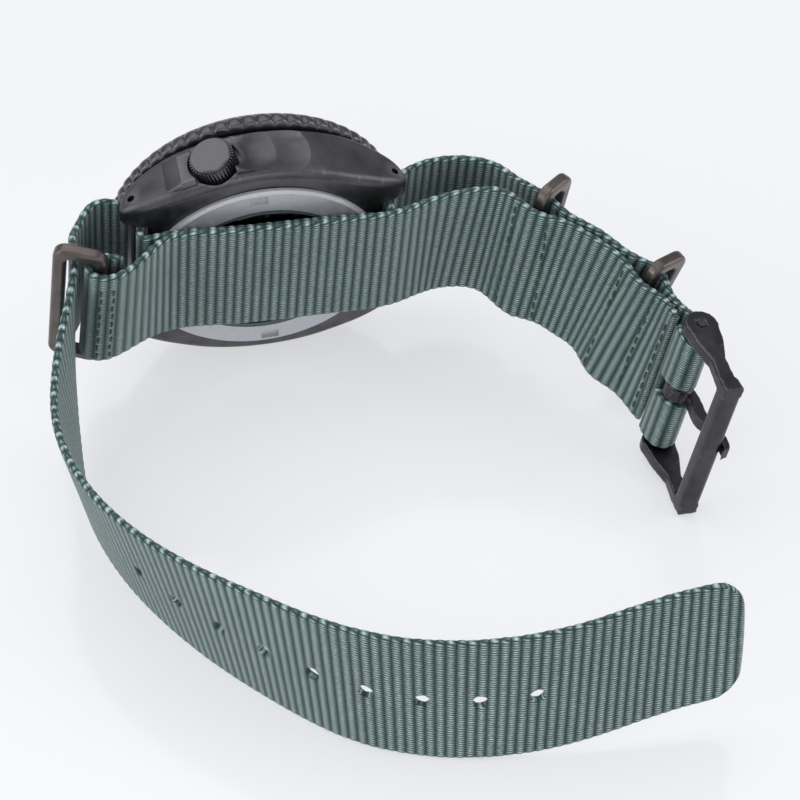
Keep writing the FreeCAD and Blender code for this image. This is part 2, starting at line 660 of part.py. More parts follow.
def bar_tip(sign, side):
    tip = Part.makeCylinder(BAR_BORE - FIT, 4.7, Vec(side * 8.0, sign * BAR_Y, BAR_Z), Vec(side, 0, 0))
    nose = Part.makeCone(BAR_BORE - FIT, 0.25, 0.25, Vec(side * 12.7, sign * BAR_Y, BAR_Z), Vec(side, 0, 0))
    return tip.fuse(nose)


def bar_springs():
    coils = []
    for sign in (1, -1):
        helix = Part.makeHelix(0.8, 12.0, 0.33)
        wire = Part.Wire(Part.makeCircle(0.07, Vec(0.33, 0, 0), Vec(0, 1, 0)))
        coil = Part.Wire(helix.Edges).makePipeShell([wire], True, True)
        coil.rotate(Vec(0, 0, 0), Vec(0, 1, 0), 90)
        coil.translate(Vec(-6.0, sign * BAR_Y, BAR_Z))
        coils.append(coil)
    return Part.makeCompound(coils)


BARS = {"12": 1, "6": -1}
for hour, y_sign in BARS.items():
    keep_head("spring_bar_" + hour, bar_tube(y_sign))
    keep_head("bar_tip_" + hour + "_upper", bar_tip(y_sign, 1))
    keep_head("bar_tip_" + hour + "_lower", bar_tip(y_sign, -1))
keep_head("bar_springs", bar_springs())


# ---------------------------------------------------------------- strap routes
# A station is a centre point and a lean: the direction across the strap, written as its X and Y
# parts for a Z part of 1.
def head_station(y, z, x=0.0, lean=(0.0, 0.0)):
    centre = HEAD.multVec(Vec(x, y, z))
    across = HEAD.Rotation.multVec(Vec(1, lean[0], lean[1]))
    return centre, across


def station(x, y, z, lean_x, lean_y):
    return Vec(x, y, z), Vec(lean_x, lean_y, 1)


def ribbon_section(stations):
    """Smooth centre line through the stations, the leans there, and the lengths at them."""
    centre = Part.BSplineCurve()
    points = [s[0] for s in stations]
    lengths = [0.0]
    for a, b in zip(points, points[1:]):
        lengths.append(lengths[-1] + (b - a).Length)
    centre.interpolate(Points=points, Parameters=lengths)
    return centre, [s[1].normalize() for s in stations], lengths


def lean_at(leans, lengths, t):
    """Lean at a length along the strap, by a cubic between the stations on each side."""
    last = len(lengths) - 1
    i = max(k for k in range(last) if lengths[k] <= t or k == 0)
    slopes = []
    for k in (i, i + 1):
        low, high = max(k - 1, 0), min(k + 1, last)
        slopes.append((leans[high] - leans[low]) * (1.0 / (lengths[high] - lengths[low])))
    span = lengths[i + 1] - lengths[i]
    u = (t - lengths[i]) / span
    start = leans[i] * (2 * u**3 - 3 * u**2 + 1) + slopes[0] * (span * (u**3 - 2 * u**2 + u))
    return start + leans[i + 1] * (3 * u**2 - 2 * u**3) + slopes[1] * (span * (u**3 - u**2))


def ribbon(stations, samples=4):
    """Strap of constant width and thickness through the stations, lofted through its sections."""
    centre, leans, lengths = ribbon_section(stations)
    params = []
    for a, b in zip(lengths, lengths[1:]):
        count = max(1, min(samples, int((b - a) / 0.7)))
        params = params + [a + (b - a) * i / count for i in range(count)]
    params.append(lengths[-1])
    sections = []
    for t in params:
        along = centre.tangent(t)[0].normalize()
        across = lean_at(leans, lengths, t).normalize() * (STRAP_WIDTH / 2)
        out = across.cross(along).normalize() * (STRAP_THICK / 2)
        middle = centre.value(t)
        corners = [middle + across + out, middle + across - out, middle - across - out, middle - across + out]
        sections.append(Part.makePolygon(corners + corners[:1]))
    return Part.makeLoft(sections, True, True)


def wrap(centre, start, end, radius, count, lean):
    """Stations of a bend round an axis along the lean; angles from +X towards +Y."""
    across = Vec(lean[0], lean[1], 1).normalize()
    east = (Vec(1, 0, 0) - across * across.x).normalize()
    north = across.cross(east)
    found = []
    for i in range(count):
        u, v = polar(radius, start + (end - start) * i / (count - 1))
        found.append((centre + east * u + north * v, Vec(lean[0], lean[1], 1)))
    return found


def head_wrap(y, z, start, end, radius, count):
    """Stations of a bend round an axis along head X; angles from head +Y towards +Z."""
    found = []
    for i in range(count):
        dy, dz = polar(radius, start + (end - start) * i / (count - 1))
        found.append(head_station(y + dy, z + dz))
    return found


# Buckle pin, and the shared stretch where two layers run together, as the line midway between them.
PIN_AT = Vec(54.5, -39.3, 14.7)
PIN_LEAN = (0.17, -0.08)
FOLD_R = PIN_R + 0.3 + STRAP_THICK / 2
BAR_WRAP_R = BAR_R + 0.1 + STRAP_THICK / 2
BACK_LAYER_Z = -0.12 - STRAP_THICK / 2
FRONT_LAYER_Z = BACK_LAYER_Z - LAYER_GAP - STRAP_THICK
LAYERS_SHUT = 0.84
RING_WRAP_R = WIRE / 2 + 0.26 + STRAP_THICK / 2
LAYERS_OPEN = RING_WRAP_R + 0.12

# (x, y, z, lean x, lean y, half distance between the layers)
SHARED = [(53.0, -33.4, 14.9, 0.21, -0.09, LAYERS_SHUT),
          (51.4, -30.0, 15.7, 0.25, -0.15, LAYERS_SHUT),
          (49.8, -26.9, 16.7, 0.27, -0.18, LAYERS_OPEN),
          (47.3, -23.2, 17.9, 0.25, -0.19, LAYERS_SHUT),
          (44.2, -19.8, 19.2, 0.20, -0.15, LAYERS_SHUT),
          (40.9, -17.0, 20.2, 0.17, -0.12, LAYERS_SHUT),
          (38.0, -14.4, 21.0, 0.15, -0.11, LAYERS_OPEN)]


def shared_layer(side):
    """Stations of the outer (1) or inner (-1) layer from the buckle to the first keeper."""
    found = []
    last = PIN_AT
    for i, (x, y, z, lean_x, lean_y, half) in enumerate(SHARED):
        after = SHARED[i + 1] if i + 1 < len(SHARED) else (35.4, -12.4, 21.6)
        along = (Vec(after[0], after[1], 0) - Vec(last.x, last.y, 0)).normalize()
        out = Vec(-along.y, along.x, 0) * -1
        found.append((Vec(x, y, z) + out * (side * half), Vec(lean_x, lean_y, 1)))
        last = Vec(x, y, z)
    return found


def strap_long():
    """Buckle fold, outer layer, behind the case, out past 6 o'clock, through the ring, tail."""
    along = math.degrees(math.atan2(-0.97, 0.2))
    route = [(PIN_AT + Vec(-0.2, 0.97, 0) * 3.0 + Vec(-0.97, -0.2, 0) * 1.35, Vec(0.18, -0.08, 1))]
    route = route + wrap(PIN_AT, along - 84, along + 84, FOLD_R, 7, PIN_LEAN)
    route = route + shared_layer(1)
    route = route + [head_station(37.0, 2.6, 1.2), head_station(34.6, 6.0, 0.6), head_station(30.6, 8.1, 0.2),
                     head_station(26.0, 8.5), head_station(22.0, 7.3)]
    route = route + head_wrap(BAR_Y, BAR_Z, 120, 185, BAR_WRAP_R, 4)
    route = route + [head_station(17.85, 2.2), head_station(18.2, 0.45), head_station(17.75, -0.4),
                     head_station(16.9, -0.74, 0.2), head_station(14.0, BACK_LAYER_Z, 0.4),
                     head_station(8.0, BACK_LAYER_Z, 0.6), head_station(0.0, BACK_LAYER_Z, 0.6),
                     head_station(-9.0, BACK_LAYER_Z, 0.9), head_station(-14.0, BACK_LAYER_Z, 1.1),
                     head_station(-16.9, -0.74, 0.7), head_station(-17.75, -0.4, 0.4),
                     head_station(-18.2, 0.45, 0.2), head_station(-17.85, 2.2)]
    route = route + head_wrap(-BAR_Y, BAR_Z, -5, 60, BAR_WRAP_R, 4)
    route = route + [head_station(-21.2, 6.9, 0.1), head_station(-24.0, 6.6, 0.4), head_station(-26.4, 3.9),
                     head_station(-27.8, 0.7, 0.9)]
    route = route + [station(-28.45, -13.2, 22.5, 0.08, -0.27), station(-29.3, -16.5, 19.0, 0.03, -0.25),
                     station(-30.4, -20.5, 15.6, -0.04, -0.21),
                     station(-31.3, -25.2, 13.0, -0.10, -0.17), station(-31.7, -36.0, 11.7, -0.17, -0.09),
                     station(-29.2, -46.7, 11.2, -0.21, -0.05), station(-24.1, -56.9, 11.1, -0.21, -0.02),
                     station(-17.8, -65.3, 11.1, -0.17, 0.01), station(-10.5, -73.0, 11.3, -0.11, 0.04),
                     station(-1.6, -80.5, 11.2, -0.05, 0.06), station(8.0, -85.1, 11.1, -0.01, 0.06),
                     station(18.6, -87.3, 11.4, 0.03, 0.07), station(29.1, -87.7, 12.6, 0.04, 0.08),
                     station(40.3, -87.0, 14.7, 0.02, 0.07), station(50.3, -87.2, 16.2, -0.03, 0.03)]
    return route


def strap_short():
    """Inner layer from the buckle fold, behind the case, folded round the left ring and sewn back."""
    route = [(PIN_AT + Vec(-0.2, 0.97, 0) * 4.5 + Vec(-0.97, -0.2, 0) * 1.1, Vec(0.18, -0.08, 1))]
    route = route + shared_layer(-1)
    route = route + [station(33.4, -11.7, 22.0, 0.13, -0.13), station(27.9, -10.7, 22.6, 0.12, -0.16),
                     head_station(22.9, -0.7, 2.1), head_station(18.9, -1.85, 2.0)]
    for y, x in ((16.0, 2.0), (11.0, 1.9), (5.7, 1.8), (-1.6, 1.9), (-9.2, 2.3), (-14.5, 2.1)):
        route.append(head_station(y, FRONT_LAYER_Z, x))
    route = route + [station(-20.0, -15.3, 22.2, 0.06, -0.27)] + left_fold()
    return route + [station(-21.6, -13.5, 22.0, 0.07, -0.27)]


# ---------------------------------------------------------------- rings on the strap
def set_frame(origin, along, lean):
    """Placement with +Z along the lean and +X as near as can be along the given direction."""
    across = Vec(lean[0], lean[1], 1).normalize()
    forward = (along - across * along.dot(across)).normalize()
    return FreeCAD.Placement(origin, FreeCAD.Rotation(forward, across.cross(forward), across, "ZXY"))


def rounded_slab(x0, x1, z0, z1, radius, y0, y1):
    """Rectangle with round corners in the XZ plane, extruded along Y."""
    box = Part.makeBox(x1 - x0, y1 - y0, z1 - z0, Vec(x0, y0, z0))
    corners = [e for e in box.Edges if abs(e.Vertexes[0].Y - e.Vertexes[-1].Y) > 0.01]
    return box.makeFillet(radius, corners)


def strap_ring(short):
    """Bent-wire rectangle: inner bar on the Z axis, outer bar at +X, limbs over and under."""
    half, reach = WIRE / 2, RING_LONG / 2
    outer = rounded_slab(-half, short + half, -reach - half, reach + half, 2.0, -half, half)
    inner = rounded_slab(half, short - half, -reach + half, reach - half, 1.0, -2, 2)
    ring = outer.cut(inner)
    return ring.makeFillet(0.55, [e for e in ring.Edges if e.BoundBox.YLength < 0.01])


# Where each ring's inner bar lies, the direction out to its outer bar, its lean, and its short side.
RINGS = {
    "left_ring": (Vec(-24.9, -14.4, 22.0), Vec(-0.93, 0.36, 0), (0.08, -0.27), LEFT_RING_SHORT),
    "first_keeper": (Vec(38.0, -14.4, 21.0), Vec(0.77, 0.64, 0), (0.15, -0.11), KEEPER_SHORT),
    "second_keeper": (Vec(49.8, -26.9, 16.7), Vec(0.88, 0.47, 0), (0.27, -0.18), KEEPER_SHORT),
}


def placed(shape, placement):
    done = shape.copy()
    done.Placement = placement.multiply(done.Placement)
    return done


for ring_name, (ring_at, ring_out, ring_lean, ring_short) in RINGS.items():
    keep(ring_name, placed(strap_ring(ring_short), set_frame(ring_at, ring_out, ring_lean)))


# ---------------------------------------------------------------- straps as solids
def left_fold():
    """The short layer's end, round the left ring's inner bar and back along its outer face."""
    at, lean = RINGS["left_ring"][0], RINGS["left_ring"][2]
    return wrap(at, -110, -290, RING_WRAP_R, 6, lean)


def tail_hole(centre, leans, lengths, t):
    along = centre.tangent(t)[0].normalize()
    across = lean_at(leans, lengths, t)
    out = across.cross(along).normalize()
    return Part.makeCylinder(HOLE_R, 8, centre.value(t) - out * 4, out), centre.value(t), out


def strap_long_solid():
    solid = ribbon(LONG_ROUTE)
    centre, leans, lengths = ribbon_section(LONG_ROUTE)
    drills = []
    for i in range(HOLE_COUNT):
        drills.append(tail_hole(centre, leans, lengths, lengths[-1] - FIRST_HOLE - i * HOLE_PITCH)[0])
    solid = solid.cut(Part.makeCompound(drills))
    slot = Part.makeBox(6.5, 6.5, 3.4, Vec(-2.6, -3.25, -1.7))
    return solid.cut(placed(slot, BUCKLE))


FIRST_HOLE = 28.0          # from the tail's tip
PIN_TO_BAR = Vec(0.13, -0.99, 0)
BUCKLE = set_frame(PIN_AT, PIN_TO_BAR, PIN_LEAN)
LONG_ROUTE = strap_long()
SHORT_ROUTE = strap_short()
keep("strap_long", strap_long_solid())
keep("strap_short", ribbon(SHORT_ROUTE))


# ---------------------------------------------------------------- buckle
ARM = 1.9                  # thickness of an arm, across the strap
BAR_DEEP = 2.6             # front bar, along the strap
BAR_TALL = 3.0             # front bar, through the strap's thickness


def buckle_arm(z0):
    """Side arm in plan: round lobe on the pin, narrow neck, shoulder into the front bar."""
    near, far = BUCKLE_REACH - BAR_DEEP / 2, BUCKLE_REACH + BAR_DEEP / 2
    lobe = Part.makeCylinder(2.5, ARM, Vec(0, 0, z0))
    neck = prism([(0, 2.45), (3.2, 2.1), (6.6, 1.0), (near, 0.9), (far, BAR_TALL / 2),
                  (far, -BAR_TALL / 2), (near, -BAR_TALL / 2), (6.6, -1.2), (3.2, -2.1), (0, -2.45)],
                 z0, z0 + ARM)
    return lobe.fuse(neck).removeSplitter()


def buckle_frame():
    top = BUCKLE_WIDTH / 2
    bar = Part.makeBox(BAR_DEEP, BAR_TALL, BUCKLE_WIDTH, Vec(BUCKLE_REACH - BAR_DEEP / 2, -BAR_TALL / 2, -top))
    bar = bar.makeFillet(0.7, bar.Edges)
    frame = bar.fuse([buckle_arm(top - ARM), buckle_arm(-top)])
    eye = Part.makeCylinder(PIN_R - 0.2, 60, Vec(0, 0, -30))
    return frame.cut(eye)


def buckle_pin():
    inside = BUCKLE_WIDTH / 2 - ARM
    rod = Part.makeCylinder(PIN_R, 2 * inside - 0.1, Vec(0, 0, -inside + 0.05))
    ends = Part.makeCylinder(PIN_R - 0.2 - FIT, BUCKLE_WIDTH, Vec(0, 0, -BUCKLE_WIDTH / 2))
    return rod.fuse(ends)


def buckle_tongue():
    """Eye round the pin and a bowed shank whose tip rests over the front bar."""
    eye = Part.makeCylinder(2.1, 2.4, Vec(0, 0, -1.2)).cut(Part.makeCylinder(PIN_R + FIT, 4, Vec(0, 0, -2)))
    top = BAR_TALL / 2
    upper = [(1.2, 1.6), (4.0, 1.9), (7.0, 1.9), (9.6, top + 1.2), (11.4, top + 1.5), (13.0, top + 1.0)]
    lower = [(13.4, top - 0.5), (12.9, top + 0.15), (11.4, top + 0.2), (9.6, top + 0.1), (7.0, 0.2),
             (4.0, 0.1), (1.2, 0.0)]
    upper_curve, lower_curve = Part.BSplineCurve(), Part.BSplineCurve()
    upper_curve.interpolate([Vec(x, y, -0.95) for x, y in upper])
    lower_curve.interpolate([Vec(x, y, -0.95) for x, y in lower])
    tip = Part.makeLine(Vec(upper[-1][0], upper[-1][1], -0.95), Vec(lower[0][0], lower[0][1], -0.95))
    root = Part.makeLine(Vec(lower[-1][0], lower[-1][1], -0.95), Vec(upper[0][0], upper[0][1], -0.95))
    wire = Part.Wire(Part.__sortEdges__([upper_curve.toShape(), tip, lower_curve.toShape(), root]))
    shank = Part.Face(wire).extrude(Vec(0, 0, 1.9))
    shank = shank.cut(Part.makeCylinder(PIN_R + FIT + 0.3, 4, Vec(0, 0, -2)))
    return eye.fuse(shank)


keep("buckle_frame", placed(buckle_frame(), BUCKLE))
keep("buckle_pin", placed(buckle_pin(), BUCKLE))
keep("buckle_tongue", placed(buckle_tongue(), BUCKLE))


# ---------------------------------------------------------------- origin and export
def floor_centre(shapes):
    """Bottom centre of the box round all the shapes."""
    box = FreeCAD.BoundBox()
    for shape in shapes:
        box.add(shape.optimalBoundingBox(True, False))
    return Vec((box.XMin + box.XMax) / 2, (box.YMin + box.YMax) / 2, box.ZMin)


ORIGIN = floor_centre(NODES.values())
os.makedirs("parts", exist_ok=True)
for node_name, node_shape in NODES.items():
    moved = node_shape.copy()
    moved.Placement = FreeCAD.Placement(ORIGIN * -1, FreeCAD.Rotation()).multiply(moved.Placement)
    moved.exportStep("parts/" + node_name + ".step")
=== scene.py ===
import bpy
import json
import math
import numpy as np
from mathutils import Matrix, Vector


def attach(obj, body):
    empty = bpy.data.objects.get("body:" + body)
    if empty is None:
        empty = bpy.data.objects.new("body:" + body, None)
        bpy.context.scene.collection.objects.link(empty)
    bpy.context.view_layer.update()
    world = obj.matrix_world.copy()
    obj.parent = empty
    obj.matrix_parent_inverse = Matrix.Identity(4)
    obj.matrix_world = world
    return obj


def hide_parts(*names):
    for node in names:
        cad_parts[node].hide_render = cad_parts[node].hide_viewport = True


# A dive watch with a pull-through nylon strap, lying on its 9 o'clock side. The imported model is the
# frame; the webbing, its stitches and the bezel's grip are remade here in finer detail.

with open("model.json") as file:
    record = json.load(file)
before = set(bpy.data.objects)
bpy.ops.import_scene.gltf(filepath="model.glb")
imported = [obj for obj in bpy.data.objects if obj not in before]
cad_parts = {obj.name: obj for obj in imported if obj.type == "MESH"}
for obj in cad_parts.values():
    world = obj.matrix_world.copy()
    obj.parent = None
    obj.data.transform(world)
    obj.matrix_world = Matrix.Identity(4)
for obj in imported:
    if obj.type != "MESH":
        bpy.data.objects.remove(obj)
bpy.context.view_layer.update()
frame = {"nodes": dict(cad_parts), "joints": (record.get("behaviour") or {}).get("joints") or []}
NODES = frame["nodes"]
MM = 0.001

# ---------------------------------------------------------------- sizes, in millimetres
STRAP_HALF = 11.0
STRAP_THICK = 1.2
END_THINNING = 0.55        # of the thickness, where heat has sealed a cut end
RIB_PITCH = 1.35           # the webbing's cross ribs
RIB_DEPTH = 0.13
YARN_PITCH = 0.42          # warp yarns side by side over each rib
ROWS_PER_RIB = 6
SELVEDGE = 0.7             # width of the rounded edge
RIB_SHARPNESS = 0.6        # below 1, ribs are round on top with narrow valleys
COLUMN = 0.85              # between the mesh columns of the flat part
TIP_ROUND = 4.5            # corner radius of the strap's tail
HOLE_R = 1.0
HOLE_PITCH = 7.5
HOLE_COUNT = 9
HOLE_MARGIN = 2 * COLUMN   # half of the square patch that is remade round a hole
FIRST_HOLE = 28.0          # from the tail's tip
# (radius, share of the thickness) of the rings that round a hole's melted rim
HOLE_RIM = ((HOLE_R + 0.3, 1.0), (HOLE_R + 0.06, 0.86), (HOLE_R, 0.6))
THREAD_R = 0.2
STITCH = 1.8
STITCH_PITCH = 2.05
WIRE = 1.9                 # of the strap rings
LEFT_RING_AT = (-24.9, -14.4, 22.0)
LEFT_RING_LEAN = (0.08, -0.27)
PIN_AT = np.array((54.5, -39.3, 14.7))
PIN_LEAN = (0.17, -0.08)
PIN_R = 0.85
FOLD_R = PIN_R + 0.3 + STRAP_THICK / 2
BAR_Y = 19.05
BAR_Z = 3.9
BAR_WRAP_R = 0.8 + STRAP_THICK / 2
LAYER_GAP = 0.24
BACK_Z = -LAYER_GAP / 2 - STRAP_THICK / 2
FRONT_Z = BACK_Z - LAYER_GAP - STRAP_THICK
SHUT = 0.84                # half distance between the layers where they lie together
RING_WRAP_R = WIRE / 2 + 0.26 + STRAP_THICK / 2
OPEN = RING_WRAP_R + 0.12  # and where they pass round a keeper's bar


# ---------------------------------------------------------------- the head's frame
def turn(axis, degrees):
    return np.array(Matrix.Rotation(math.radians(degrees), 3, axis))


HEAD_AT = np.array((0.0, -9.3, 20.2))
HEAD_TILT = 10.0
HEAD_DIP = 2.3
HEAD_ROT = turn("X", HEAD_TILT) @ turn("Y", HEAD_DIP) @ np.array(((0, 1, 0), (0, 0, 1), (1, 0, 0)), float)


def on_head(x, y, z):
    """Point in the lying frame of a point given in the head's own frame."""
    return HEAD_AT + HEAD_ROT @ np.array((x, y, z), float)


def frame_origin():
    """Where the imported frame's origin is, from the bezel joint, which turns about (0, 0, 11) of the head."""
    bezel = next(j for j in frame["joints"] if j["child"] == "bezel")
    return on_head(0, 0, 11) - np.array(bezel["pos_m"]) / MM


ORIGIN = frame_origin()


def to_scene(points):
    return (np.asarray(points, float) - ORIGIN) * MM


# ---------------------------------------------------------------- strap routes
def head_station(y, z, x=0.0):
    return on_head(x, y, z), HEAD_ROT @ np.array((1.0, 0.0, 0.0))


def station(x, y, z, lean_x, lean_y):
    return np.array((x, y, z), float), np.array((lean_x, lean_y, 1.0))


def unit(v):
    return v / np.linalg.norm(v)


def wrap(centre, start, end, radius, count, lean):
    """Stations of a bend round an axis along the lean; angles from +X towards +Y."""
    across = unit(np.array((lean[0], lean[1], 1.0)))
    east = unit(np.array((1.0, 0.0, 0.0)) - across * across[0])
    north = np.cross(across, east)
    found = []
    for angle in np.radians(np.linspace(start, end, count)):
        at = np.asarray(centre) + (east * math.cos(angle) + north * math.sin(angle)) * radius
        found.append((at, np.array((lean[0], lean[1], 1.0))))
    return found


def head_wrap(y, z, start, end, radius, count):
    """Stations of a bend round an axis along head X; angles from head +Y towards +Z."""
    angles = np.radians(np.linspace(start, end, count))
    return [head_station(y + radius * math.cos(a), z + radius * math.sin(a)) for a in angles]


# (x, y, z, lean x, lean y, half distance between the layers)
SHARED = [(53.0, -33.4, 14.9, 0.21, -0.09, SHUT), (51.4, -30.0, 15.7, 0.25, -0.15, SHUT),
          (49.8, -26.9, 16.7, 0.27, -0.18, OPEN), (47.3, -23.2, 17.9, 0.25, -0.19, SHUT),
          (44.2, -19.8, 19.2, 0.20, -0.15, SHUT), (40.9, -17.0, 20.2, 0.17, -0.12, SHUT),
          (38.0, -14.4, 21.0, 0.15, -0.11, OPEN)]


def shared_layer(side):
    """Stations of the outer (1) or inner (-1) layer from the buckle to the first keeper."""
    found = []
    last = PIN_AT
    for i, (x, y, z, lean_x, lean_y, half) in enumerate(SHARED):
        after = SHARED[i + 1] if i + 1 < len(SHARED) else (35.4, -12.4, 21.6)
        ahead = unit(np.array((after[0] - last[0], after[1] - last[1], 0.0)))
        out = np.array((ahead[1], -ahead[0], 0.0))
        found.append((np.array((x, y, z)) + out * (side * half), np.array((lean_x, lean_y, 1.0))))
        last = (x, y, z)
    return found


def long_route():
    """Buckle fold, outer layer, behind the case, out past 6 o'clock, through the ring, tail."""
    ahead = math.degrees(math.atan2(-0.97, 0.2))
    first = PIN_AT + np.array((-0.2, 0.97, 0)) * 3.0 + np.array((-0.97, -0.2, 0)) * 1.35
    route = [(first, np.array((0.18, -0.08, 1.0)))]
    route += wrap(PIN_AT, ahead - 84, ahead + 84, FOLD_R, 7, PIN_LEAN)
    route += shared_layer(1)
    for y, z, x in ((37.0, 2.6, 1.2), (34.6, 6.0, 0.6), (30.6, 8.1, 0.2), (26.0, 8.5, 0), (22.0, 7.3, 0)):
        route.append(head_station(y, z, x))
    route += head_wrap(BAR_Y, BAR_Z, 120, 185, BAR_WRAP_R, 4)
    for y, z, x in ((17.85, 2.2, 0), (18.2, 0.45, 0), (17.75, -0.4, 0), (16.9, -0.74, 0.2),
                    (14.0, BACK_Z, 0.4), (8.0, BACK_Z, 0.6), (0.0, BACK_Z, 0.6), (-9.0, BACK_Z, 0.9),
                    (-14.0, BACK_Z, 1.1), (-16.9, -0.74, 0.7), (-17.75, -0.4, 0.4), (-18.2, 0.45, 0.2),
                    (-17.85, 2.2, 0)):
        route.append(head_station(y, z, x))
    route += head_wrap(-BAR_Y, BAR_Z, -5, 60, BAR_WRAP_R, 4)
    for y, z, x in ((-21.2, 6.9, 0.1), (-24.0, 6.6, 0.4), (-26.4, 3.9, 0), (-27.8, 0.7, 0.9)):
        route.append(head_station(y, z, x))
    for values in ((-28.45, -13.2, 22.5, 0.08, -0.27), (-29.3, -16.5, 19.0, 0.03, -0.25),
                   (-30.4, -20.5, 15.6, -0.04, -0.21), (-31.3, -25.2, 13.0, -0.10, -0.17),
                   (-31.7, -36.0, 11.7, -0.17, -0.09), (-29.2, -46.7, 11.2, -0.21, -0.05),
                   (-24.1, -56.9, 11.1, -0.21, -0.02), (-17.8, -65.3, 11.1, -0.17, 0.01),
                   (-10.5, -73.0, 11.3, -0.11, 0.04), (-1.6, -80.5, 11.2, -0.05, 0.06),
                   (8.0, -85.1, 11.1, -0.01, 0.06), (18.6, -87.3, 11.4, 0.03, 0.07),
                   (29.1, -87.7, 12.6, 0.04, 0.08), (40.3, -87.0, 14.7, 0.02, 0.07),
                   (50.3, -87.2, 16.2, -0.03, 0.03)):
        route.append(station(*values))
    return route


def short_route():
    """Inner layer from the buckle fold, behind the case, folded round the left ring and sewn back."""
    first = PIN_AT + np.array((-0.2, 0.97, 0)) * 4.5 + np.array((-0.97, -0.2, 0)) * 1.1
    route = [(first, np.array((0.18, -0.08, 1.0)))]
    route += shared_layer(-1)
    route += [station(33.4, -11.7, 22.0, 0.13, -0.13), station(27.9, -10.7, 22.6, 0.12, -0.16)]
    route += [head_station(22.9, -0.7, 2.1), head_station(18.9, -1.85, 2.0)]
    for y, x in ((16.0, 2.0), (11.0, 1.9), (5.7, 1.8), (-1.6, 1.9), (-9.2, 2.3), (-14.5, 2.1)):
        route.append(head_station(y, FRONT_Z, x))
    route.append(station(-20.0, -15.3, 22.2, 0.06, -0.27))
    route += wrap(LEFT_RING_AT, -110, -290, RING_WRAP_R, 6, LEFT_RING_LEAN)
    route.append(station(-21.6, -13.5, 22.0, 0.07, -0.27))
    return route


class Ribbon:
    """Smooth centre line through the stations, with the direction across and out at any length."""

    def __init__(self, stations):
        self.points = np.array([s[0] for s in stations])
        self.leans = np.array([unit(s[1]) for s in stations])
        steps = np.linalg.norm(np.diff(self.points, axis=0), axis=1)
        self.lengths = np.concatenate(([0.0], np.cumsum(steps)))
        self.curves = self.second_derivatives()
        self.slopes = np.empty_like(self.leans)
        last = len(self.lengths) - 1
        for k in range(last + 1):
            low, high = max(k - 1, 0), min(k + 1, last)
            self.slopes[k] = (self.leans[high] - self.leans[low]) / (self.lengths[high] - self.lengths[low])
        self.total = self.lengths[-1]

    def second_derivatives(self):
        h = np.diff(self.lengths)
        n = len(self.lengths)
        matrix = np.eye(n)
        right = np.zeros((n, 3))
        for i in range(1, n - 1):
            matrix[i, i - 1:i + 2] = h[i - 1], 2 * (h[i - 1] + h[i]), h[i]
            right[i] = 6 * ((self.points[i + 1] - self.points[i]) / h[i]
                            - (self.points[i] - self.points[i - 1]) / h[i - 1])
        matrix[0, 1] = matrix[-1, -2] = -0.5
        return np.linalg.solve(matrix, right)

    def at(self, s):
        """Centres, unit across and unit out vectors for an array of lengths."""
        s = np.clip(np.asarray(s, float), 0, self.total)
        i = np.clip(np.searchsorted(self.lengths, s, "right") - 1, 0, len(self.lengths) - 2)
        h = (self.lengths[i + 1] - self.lengths[i])[:, None]
        b = (s[:, None] - self.lengths[i][:, None]) / h
        a = 1 - b
        p0, p1, m0, m1 = self.points[i], self.points[i + 1], self.curves[i], self.curves[i + 1]
        centre = a * p0 + b * p1 + ((a**3 - a) * m0 + (b**3 - b) * m1) * h * h / 6
        ahead = (p1 - p0) / h + h / 6 * ((3 * b * b - 1) * m1 - (3 * a * a - 1) * m0)
        lean = (self.leans[i] * (2 * b**3 - 3 * b**2 + 1) + self.leans[i + 1] * (3 * b**2 - 2 * b**3)
                + h * (self.slopes[i] * (b**3 - 2 * b**2 + b) + self.slopes[i + 1] * (b**3 - b**2)))
        across = lean / np.linalg.norm(lean, axis=1)[:, None]
        out = np.cross(across, ahead)
        return centre, across, out / np.linalg.norm(out, axis=1)[:, None]


def rib_height(s):
    """1 on top of a rib, 0 in the valley between two."""
    return np.abs(np.cos(np.pi * s / RIB_PITCH)) ** RIB_SHARPNESS


def surface(ribbon, s, v, side):
    """Points on the webbing's outer (side 1) or inner (-1) face; both meet where |v| is the half width."""
    s, v, side = np.broadcast_arrays(*(np.asarray(a, float) for a in (s, v, side)))
    centre, across, out = ribbon.at(s.ravel())
    centre, across, out = (part.reshape(s.shape + (3,)) for part in (centre, across, out))
    rib = rib_height(s)
    edge = np.clip((np.abs(v) - (STRAP_HALF - SELVEDGE)) / SELVEDGE, 0, 1)
    rise = (STRAP_THICK / 2 - RIB_DEPTH * (1 - rib)) * np.sqrt(np.clip(1 - edge**2.4, 0, 1))
    wave = 0.05 * np.sin(s * 0.83 + 1.3 * np.sin(s * 0.29)) * edge
    width = v - np.sign(v) * edge * (0.14 * (1 - rib) - wave + 0.05)
    return centre + across * width[..., None] + out * (side * rise)[..., None]


# ---------------------------------------------------------------- mesh helpers
def add_mesh(name, verts, faces, material, body):
    mesh = bpy.data.meshes.new(name)
    mesh.from_pydata([tuple(v) for v in verts], [], [tuple(int(i) for i in f) for f in faces])
    mesh.polygons.foreach_set("use_smooth", [True] * len(mesh.polygons))
    mesh.materials.append(material)
    mesh.update()
    obj = bpy.data.objects.new(name, mesh)
    bpy.context.collection.objects.link(obj)
    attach(obj, body)
    return obj


def columns():
    """Places across the webbing, closer together at its edges."""
    inner = np.arange(-10, 11) * COLUMN
    edge = STRAP_HALF - np.array((1.65, 0.95, 0.6, 0.3, 0.12, 0.0))
    return np.concatenate((-edge[::-1], inner, edge))


